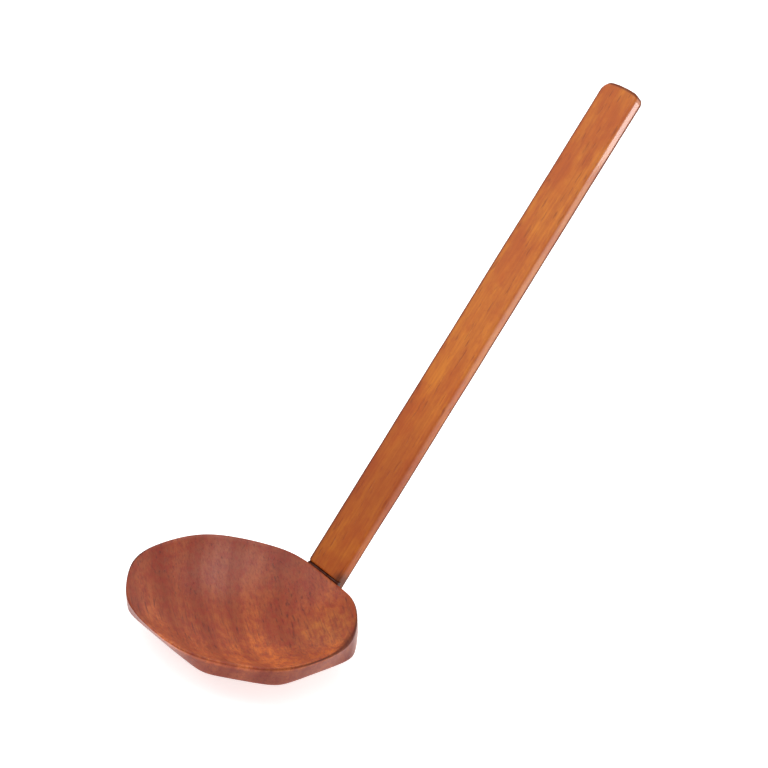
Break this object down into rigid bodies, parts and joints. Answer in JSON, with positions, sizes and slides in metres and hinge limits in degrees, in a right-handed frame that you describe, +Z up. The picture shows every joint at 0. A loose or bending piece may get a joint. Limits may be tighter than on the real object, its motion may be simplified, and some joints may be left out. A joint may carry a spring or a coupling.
{
  "type": "wooden ladle",
  "caption": "Ladle with a shallow faceted bowl and a long flat handle glued to one facet, for serving soup.",
  "frame": {"origin": "centre of the flat foot under the bowl; the handle stands 1 mm to +X of it", "axes": "+Z up, square to the level rim; +Y from the bowl towards the handle; +X to the right of someone who looks along +Y"},
  "size_m": [0.0748, 0.1675, 0.1765],
  "materials": {
    "bowl_wood": "close-grained wood wiped with red-brown lacquer, glossy",
    "handle_wood": "straight-grained wood wiped with amber-brown lacquer, glossy",
    "dark_lacquer": "hardened glue and lacquer, almost black"
  },
  "bodies": {
    "root": {"bowl": "bowl_wood", "handle": "handle_wood", "joint_seam": "dark_lacquer"}
  },
  "joints": []
}
